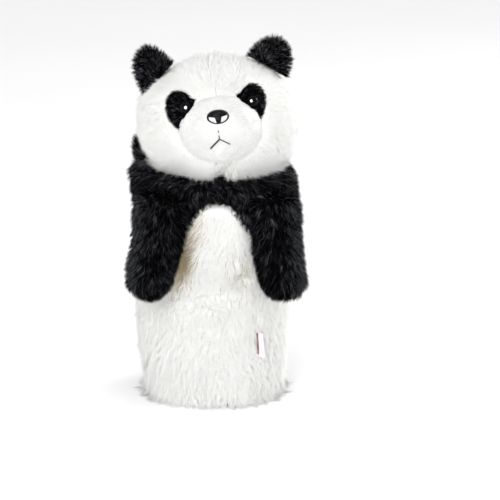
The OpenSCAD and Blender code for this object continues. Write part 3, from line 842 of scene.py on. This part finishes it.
def muzzle_skin_out(x, y):
    """How far the muzzle's cloth stands out: a dome with a lip groove, mouth corners and a chin."""
    s = muzzle_s(x, y)
    low = smooth((MUZZLE_MID[1] + 6 - y) / 26)
    swell = 1.8 + (MUZZLE_H - 0.5) * np.maximum(0, 1 - s**2) ** mix(0.85, 1.25, low)
    chin = 6.5 * np.exp(-((((x + 3) / 7.0) ** 2 + ((y + 33.5) / 6.5) ** 2) ** 1.3))
    lip = -0.9 * hill(x, -0.8, 2.0) * smooth((-y - 8) / 4) * smooth((y + 21.5) / 3)
    tuck = -4.0 * np.exp(-(((x - 6.5 - 0.5 * (y + 41)) / 3.5) ** 2 + ((y + 41) / 5) ** 2))
    corner = -1.3 * np.exp(-(((np.abs(x + 1) - 8) / 3.5) ** 2 + ((y + 28) / 3.5) ** 2))
    return swell - 2.0 - 0.8 * smooth((s - 0.86) / 0.14) + chin + lip + tuck + corner


u, v = uv(70, 70)
a, b = disc(u, v)
mx, my = MUZZLE_MID[0] + MUZZLE_HALF[0] * a, MUZZLE_MID[1] + MUZZLE_HALF[1] * b
p = face_at(mx, my, muzzle_skin_out(mx, my))
skin = shell("muzzle_panel_skin", p, [SHORT_BACKING], "cover", centre=HEAD_C)
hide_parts("muzzle_panel")
fill_share, fill_depth = 0.86, 1.8
mx = MUZZLE_MID[0] + fill_share * MUZZLE_HALF[0] * a
my = MUZZLE_MID[1] + fill_share * MUZZLE_HALF[1] * b
inner = face_at(mx, my, muzzle_skin_out(mx, my) - fill_depth)
filling = shell("muzzle_filling", inner, [FILLING], "cover", thick=5.0, centre=HEAD_C)
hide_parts("muzzle_stuffing")
rng = np.random.default_rng(300)
root, normal = sample(p, 30000, rng, HEAD_C)[:2]
x, y, z = face_place(unit(root - HEAD_C))
flow = unit(stack(x - NOSE_AT[0], y - NOSE_AT[1], 0)) @ FACE_AXES
flow = flow + 0.3 * DOWN + 0.15 * unit(rng.normal(size=root.shape))
keep = np.hypot((x - NOSE_AT[0]) / (NOSE_W / 2), (y - NOSE_AT[1]) / (NOSE_H / 2)) > 0.85
edge = smooth((muzzle_s(x, y) - 0.4) / 0.35)[keep]
size = mix(2.8, 3.9, edge)
low, high = mix(55, 36, edge), mix(76, 58, edge)
pile("muzzle_panel_pile", "cover", "white_short_pile", SHORT_PILE + HEAD_PILE[:1],
     root[keep], normal[keep], flow[keep], size, (low, high), 301,
     radius=0.2, clump=3.0, pull=0.25, wander=10, soft=0.9, gap=patch_gap, last_mat_share=0.7 * edge)

# ---- Eye patches and eyes ----


def on_face(x, y, out=0.0):
    """A frame that stands on the face: its place, and its directions across, up and out."""
    d = face_dir(np.float64(x), np.float64(y))
    across = unit(FACE_AXES[0] - d * (FACE_AXES[0] @ d))
    return face_at(x, y, out), across, np.cross(d, across), d


def capped(name, grid, mats, body):
    """A closed shape: the grid's first axis runs round it and its second runs from pole to pole."""
    turns, n = grid.shape[:2]
    pts = np.concatenate([grid.reshape(-1, 3), [grid[:, 0].mean(0), grid[:, -1].mean(0)]])
    faces = grid_quads(turns, n, 0, False, True)
    for i in range(turns):
        k = (i + 1) % turns
        faces.append([turns * n, k * n, i * n])
        faces.append([turns * n + 1, i * n + n - 1, k * n + n - 1])
    return add_mesh(name, pts, faces, mats, body)


def lathe(name, place, profile, mats, body, turns=64):
    """A turned shape: profile is a list of radius and height along the frame's outward direction."""
    o, ex, ey, ez = place
    a = np.linspace(0, 2 * math.pi, turns, endpoint=False)
    pts = [o + (ex * math.cos(t) + ey * math.sin(t)) * r + ez * h for t in a for r, h in profile]
    return capped(name, np.array(pts).reshape(turns, len(profile), 3), mats, body)


for side, word in ((1, "left"), (-1, "right")):
    u, v = uv(36, 36)
    a, b = disc(u, v)
    qx, qy = a * PATCH_HALF[0] * 1.3, b * PATCH_HALF[1] * 1.02
    c, s = math.cos(side * PATCH_LEAN), math.sin(side * PATCH_LEAN)
    px = PATCH_X + side * PATCH_MID[0] + qx * c + qy * s
    py = PATCH_MID[1] - qx * s + qy * c
    rim = patch_s(side, px, py)
    inside = smooth((1.04 - muzzle_s(px, py)) / 0.08)
    p = face_at(px, py, -4.2 - 2.5 * smooth((rim - 0.85) / 0.2) - 2.5 * inside)
    skin = shell(f"eye_patch_{word}_skin", p, [BLACK_BACKING], "cover",
                 centre=HEAD_C, thick=1.0)
    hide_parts(f"eye_patch_{word}")
    rng = np.random.default_rng(400 + side)
    root, normal = sample(p, 2600, rng, HEAD_C)[:2]
    x, y, z = face_place(unit(root - HEAD_C))
    from_eye = np.hypot(x - FACE_MID - side * EYE_GAP, y - EYE_UP)
    keep = (muzzle_s(x, y) > 0.99) & (from_eye > EYE_D * 0.40) & (patch_s(side, x, y) < 1.02)
    flow = unit(stack(x - NOSE_AT[0], y + 12, 0)) @ FACE_AXES
    flow = flow + 0.6 * DOWN + 0.2 * unit(rng.normal(size=root.shape))
    size = np.full(len(root), 5.0)
    pile(f"eye_patch_{word}_pile", "cover", "black_short_pile", BLACK_PILE,
         root[keep], normal[keep], flow[keep], size[keep], (30, 58), 410 + side,
         radius=0.2, clump=3.0, pull=0.4, wander=16, soft=0.55, odds=DARK_SHARES)
    place = on_face(FACE_MID + side * EYE_GAP, EYE_UP, -0.4)
    r = EYE_D / 2
    dome = [(r * math.cos(t), 1.2 + 4.2 * math.sin(t)) for t in np.linspace(0, math.pi / 2 - 0.02, 18)]
    flange = [(r - 0.9, -0.8), (r - 0.3, -0.4), (r + 0.15, 0.3), (r + 0.15, 0.9), (r, 1.15)]
    profile = [(2.0, -14.0), (2.0, -1.0)] + flange + dome
    eye = lathe(f"eye_{word}_dome", place, profile, [GLOSS], "cover")
    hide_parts(f"eye_{word}")

# ---- Nose and mouth ----

o, ex, ey, ez = on_face(*NOSE_AT, muzzle_skin_out(*map(np.float64, NOSE_AT)) + 1.2)
nr, nt = 44, 112
t = np.linspace(0, 2 * math.pi, nt, endpoint=False)
T, R = np.meshgrid(t, np.linspace(0.0, 1.0, nr), indexing="ij")
low_side = np.maximum(-np.sin(T), 0)
ax = rounded(np.cos(T), 2.15) * R * NOSE_W / 2 * (1 - 0.16 * low_side**2)
ay = rounded(np.sin(T), 2.1) * R * NOSE_H / 2
high = 7.4 * (1 - R**2.4) ** 0.5 - 1.0
# The nostrils are real recessed facets; their pale grey colour is a painted reflection of the light on glossy
# plastic
nostril_glint = smooth((abs(ax) - 1.5 - 0.22 * (ay + 7)) / 0.8) * smooth((0.84 - R) / 0.06)
nostril_glint *= smooth((0.2 + 0.22 * (abs(ax) - 4) - ay) / 0.8)
pts = o + ax[..., None] * ex + ay[..., None] * ey + (high - 1.5 * nostril_glint)[..., None] * ez
glint_faces = (nostril_glint[:, :-1] + nostril_glint[:, 1:]).ravel() / 2 > 0.5
n = nt * nr
faces = grid_quads(nt, nr, 0, True, True)
faces += [[n, (i + 1) % nt * nr + nr - 1, i * nr + nr - 1] for i in range(nt)]
index = np.concatenate([glint_faces.astype(int), np.zeros(nt, int)])
pts = np.concatenate([pts.reshape(-1, 3), (o - ez * 3)[None]])
nose = add_mesh("nose_moulding", pts, faces, [NOSE_BLACK, NOSE_PAINTED_REFLECTION], "cover", index)
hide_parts("nose")


def thread(pts, radius, plies=2, pitch=1.6, turns=14):
    """A twisted thread along pts, with rounded ends: points and faces."""
    along = unit(np.gradient(pts, axis=0))
    side = unit(np.cross(along, unit(pts - HEAD_C)))
    up = np.cross(side, along)
    run = np.concatenate([[0], np.cumsum(np.linalg.norm(np.diff(pts, axis=0), axis=1))])
    ends = np.sqrt(np.clip(1 - (1 - np.minimum(run, run[-1] - run) / radius).clip(0) ** 2, 0.02, 1))
    a = np.linspace(0, 2 * math.pi, turns, endpoint=False)
    r = radius * ends[:, None] * (1 + 0.16 * np.cos(plies * (a[None] - 2 * math.pi * run[:, None] / pitch)))
    way = side[:, None] * np.cos(a)[None, :, None] + up[:, None] * np.sin(a)[None, :, None]
    ring = pts[:, None] + r[..., None] * way
    n, m = turns, len(pts)
    faces = grid_quads(n, m, 0, False, True)
    for i in range(n):
        k = (i + 1) % n
        faces += [[n * m, i * m, k * m], [n * m + 1, k * m + m - 1, i * m + m - 1]]
    return np.concatenate([ring.transpose(1, 0, 2).reshape(-1, 3), pts[:1], pts[-1:]]), faces


def on_muzzle(line, count, lift):
    line = np.array(line, float)
    s = np.linspace(0, len(line) - 1, count)
    x, y = (np.interp(s, np.arange(len(line)), line[:, i]) for i in (0, 1))
    return face_at(x, y, muzzle_skin_out(x, y) + lift)


verts, faces = [], []
for line, radius, count in (
    ([(-8.9, -27.9), (-6.4, -25.2), (-3.6, -22.6), (-1.0, -20.2)], 0.78, 70),
    ([(-1.0, -20.2), (1.6, -21.6), (4.2, -23.4), (6.8, -25.3)], 0.52, 70),
    ([(-1.3, -17.2), (-1.1, -18.6), (-1.0, -20.4)], 0.42, 24),
    ([(-1.3, -13.6), (-1.25, -15.2)], 0.55, 16),
):
    tv, tf = thread(on_muzzle(line, count, 1.4), radius)
    first = sum(len(x) for x in verts)
    verts.append(tv)
    faces += [[i + first for i in f] for f in tf]
mouth = add_mesh("mouth_stitches_thread", np.concatenate(verts), faces, [THREAD], "cover")
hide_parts("mouth_stitches")

# ---- Ears ----

for side, word in ((1, "left"), (-1, "right")):
    for front, which in ((True, "front"), (False, "back")):
        u, v = uv(40, 24)
        p = ear_skin(side, u, v, front)
        middle = p.reshape(-1, 3).mean(0) - from_face(np.array([0.0, 0.0, 1.0])) * (30 if front else -30)
        node = f"ear_{word}_{which}"
        skin = shell(node + "_skin", p, [BLACK_BACKING], "cover", thick=0.6, centre=middle)
        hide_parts(node)
        rng = np.random.default_rng(500 + side * 3 + front)
        root, normal, _, rv = sample(p, 2600, rng, middle)
        base = ear_skin(side, np.array([0.5]), np.array([0.0]), front)[0]
        flow = unit(root - base + from_face(np.array([0.0, -4.0, 0.0])))
        flow = flow + 0.3 * unit(rng.normal(size=root.shape))
        size = 6.0 + 1.2 * smooth((rv - 0.7) / 0.3)
        pile(node + "_pile", "cover", "black_long_pile", BLACK_PILE, root, normal, flow, size, (30, 54),
             520 + side * 3 + front, clump=2.8, pull=0.4, wander=22, soft=0.5)

# ---- Arms ----

for side, word in ((1, "left"), (-1, "right")):
    turn, along = np.meshgrid(np.arange(0, 360, 9), np.linspace(1, 0, 32), indexing="ij")
    inner = arm_skin(side, turn, along, FILL_INSET)
    filling = capped(f"arm_{word}_filling", inner, [FILLING], f"arm_{word}")
    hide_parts(f"arm_{word}_stuffing")
    for front, which in ((True, "front"), (False, "back")):
        u, v = uv(44, 56)
        az = mix(SEAM_GAP, 180 - SEAM_GAP, u)
        if front:
            az = mix(180 + SEAM_GAP, 360 - SEAM_GAP, u)
        p = arm_skin(side, az, v)
        middle = shoulder_at(side) + turned(np.array([side * 3.0, -2.0, -ARM_LEN / 2]), side * ARM_TURN)
        node = f"arm_{word}_{which}"
        skin = shell(node + "_skin", p, [BLACK_BACKING], f"arm_{word}",
                     centre=middle, thick=1.0)
        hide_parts(node)
        rng = np.random.default_rng(600 + side * 3 + front)
        root, normal = sample(p, int(cell_areas(p).sum() * 1.7), rng, middle)[:2]
        forward = np.array([0.0, -1.0, -0.2]) * smooth((normal[:, 2:] - 0.1) / 0.6)
        flow = DOWN + 1.6 * forward + 0.35 * unit(rng.normal(size=root.shape))
        size = 10 + 1.0 * lumps(root, 30, 5)
        # Painted highlight: more of the light sheen strands on each arm's outer side, where the side light
        # falls
        outer = 0.3 * smooth((side * normal[:, 0] - 0.35) / 0.5)
        pile(node + "_pile", f"arm_{word}", "black_long_pile", BLACK_PILE + BLACK_PILE[-1:],
             root, normal, flow, size, (30, 56), 620 + side * 3 + front,
             radius=0.2, clump=3.2, pull=0.38, wander=26, soft=0.45, odds=DARK_SHARES, last_mat_share=outer)

# ---- Hem, lining and label ----


def ring_shell(name, outline, mats):
    """A closed band round the mouth from a function of turn that gives its cross-section."""
    turns = 240
    a = np.linspace(0, 2 * math.pi, turns, endpoint=False)
    g = np.stack([outline(t) for t in a])
    faces = grid_quads(turns, g.shape[1], 0, False, True)
    m = g.shape[1]
    for i in range(turns):
        k = (i + 1) % turns
        faces.append([i * m, k * m, k * m + m - 1, i * m + m - 1])
    return add_mesh(name, g.reshape(-1, 3), faces, mats, "cover")


def hem_section(t):
    """The folded tape's section: rounded, with a shallow groove where it is stitched."""
    outer = body_at(math.degrees(t), 0.0, SKIN_INSET)[:2]
    inner = np.array([CAVITY[0] * math.cos(t), CAVITY[1] * math.sin(t)])
    inner = inner * (1 + 0.6 / np.linalg.norm(inner))
    ways = np.linspace(0, 2 * math.pi, 28, endpoint=False)
    share = 0.5 + 0.5 * np.sign(np.cos(ways)) * np.abs(np.cos(ways)) ** 0.5
    wave = 0.15 * math.sin(95 * t)
    h = HEM_H / 2 + (HEM_H / 2 - 0.2) * np.sign(np.sin(ways)) * np.abs(np.sin(ways)) ** 0.6
    h = h + (0.5 + wave) * hill(share, 0.35, 0.12) * (np.sin(ways) < 0)
    xy = mix(inner[None], outer[None], share[:, None])
    return np.concatenate([xy, np.maximum(h, 0.15)[:, None]], 1)


hem = ring_shell("hem_binding_tape", hem_section, [TAPE])
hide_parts("hem_binding")

u, v = uv(452, 90)
t = 2 * math.pi * u[:-1]
s = v[:-1]
# Shares of the grid in the dome and below it, and how far the knit is outside the cavity
dome_share, tube_share, knit_out = 0.32, 0.68, 1.2
straight = s > dome_share
lat = np.where(straight, 0, 88 * (1 - s / dome_share)) * math.pi / 180
z = mix(CAVITY[2] - DOME, HEM_H + 0.3, (s - dome_share) / tube_share)
z = np.where(straight, z, CAVITY[2] - DOME)
rib = 0.28 * np.sin(113 * t) * np.cos(lat) + 0.4 * np.sin(3 * t + z / 19) * smooth((z - 20) / 40)
wide, deep = CAVITY[0] + knit_out + rib, CAVITY[1] + knit_out + rib
z = z + (DOME + knit_out) * np.sin(lat)
lin = stack(wide * np.cos(lat) * np.cos(t), deep * np.cos(lat) * np.sin(t), z)
lining = shell("inner_lining_knit", lin, [LINING_KNIT], "cover",
               thick=0.8, centre=(0, 0, 120), closed=True)
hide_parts("inner_lining")

seam_at = body_skin(np.float64(SEAM_LEFT), np.float64(LABEL_Z))
away = body_at(SEAM_LEFT, LABEL_Z) - body_at(SEAM_LEFT, LABEL_Z, 9.0)
away = unit(away * np.array([1, 1, 0]))
beside = np.cross(away, -DOWN)
cols, rows = 36, 52
gu, gv = uv(cols + 1, rows + 1)
lw, lh = LABEL_SIZE[0] + 7.0, LABEL_SIZE[1]
bend = 0.9 * np.sin(gu * 2.6 + gv * 1.5) * gu + 0.4 * np.sin(gv * 6)
weave = 0.05 * ((np.arange(cols + 1)[:, None] + np.arange(rows + 1)[None]) % 2)
lab = seam_at + (gu * lw)[..., None] * away - ((gv - 0.5) * lh)[..., None] * DOWN
lab = lab - (bend + weave + 0.6)[..., None] * beside
ci, cj = np.meshgrid(np.arange(cols), np.arange(rows), indexing="ij")
# Plain woven marks in place of any text: a block of red dashes, and a thin grey edge
dash = (ci >= 11) & (ci < 19) & (cj > 2) & (cj < 49) & (cj % 5 < 4)
edge = (ci >= 31) & (ci < 33) & (cj % 4 < 2)
index = np.where(dash, 1, np.where(edge, 2, 0)).ravel()
inward = lab.reshape(-1, 3).mean(0) - beside * 20
label = shell("woven_label_tab", lab, [LABEL_WHITE, LABEL_RED, LABEL_GREY], "cover",
              thick=1.1, centre=inward, index=index)
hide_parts("woven_label")

# ---- Stage, light and camera ----


def sun_panel(name, at, aim, size, power):
    data = bpy.data.lights.new(name, "AREA")
    data.shape = "DISK"
    data.size = size
    data.energy = power
    obj = bpy.data.objects.new(name, data)
    obj.location = at
    obj.rotation_euler = (Vector(aim) - Vector(at)).to_track_quat("-Z", "Y").to_euler()
    bpy.context.scene.collection.objects.link(obj)
    return obj


floor_mat = woven("stage_floor", (0.86, 0.86, 0.86), (0.88, 0.88, 0.88), 0.8, 3, 0.02)
floor_half = 4000
corners = [(x * floor_half, y * floor_half, 0) for x, y in ((-1, -1), (1, -1), (1, 1), (-1, 1))]
floor = add_mesh("stage_floor", corners, [[0, 1, 2, 3]], [floor_mat], None)
middle = (0, -0.01, 0.2)
sun_panel("key_light", (-0.6, -2.0, 1.7), middle, 1.1, 19.5)
sun_panel("top_light", (0.0, -0.7, 2.1), middle, 1.0, 8)
sun_panel("left_light", (-1.7, -0.5, 0.4), middle, 0.9, 3.5)
sun_panel("fill_light", (1.4, -1.6, 0.6), middle, 1.2, 6.5)
sun_panel("low_light", (-0.1, -1.9, 0.15), (0, 0, 0.06), 0.9, 17)
sun_panel("rim_light", (1.2, 0.7, 0.7), middle, 0.6, 9)
# A catch light that only the eyes answer to
catch = sun_panel("catch_light", (-0.15, -0.95, 0.75), (0, -0.08, 0.3), 1.0, 700)
catch.visible_diffuse = False
eyes = bpy.data.collections.new("eyes")
for word in ("left", "right"):
    eyes.objects.link(bpy.data.objects[f"eye_{word}_dome"])
catch.light_linking.receiver_collection = eyes

world = bpy.data.worlds.new("studio")
bpy.context.scene.world = world
world.use_nodes = True
world.node_tree.nodes["Background"].inputs["Color"].default_value = (1, 1, 1, 1)
world.node_tree.nodes["Background"].inputs["Strength"].default_value = 0.88
bpy.context.scene.view_settings.view_transform = "Standard"

target = Vector((0.0335, -0.060, 0.1658))
elevation, distance, view_width = math.radians(17), 4.0, 0.5
cam_data = bpy.data.cameras.new("camera")
cam_data.sensor_width = 36
cam_data.lens = cam_data.sensor_width * distance / view_width
camera = bpy.data.objects.new("camera", cam_data)
camera.location = target + distance * Vector((0, -math.cos(elevation), math.sin(elevation)))
camera.rotation_euler = (target - camera.location).to_track_quat("-Z", "Y").to_euler()
bpy.context.scene.collection.objects.link(camera)
bpy.context.scene.camera = camera
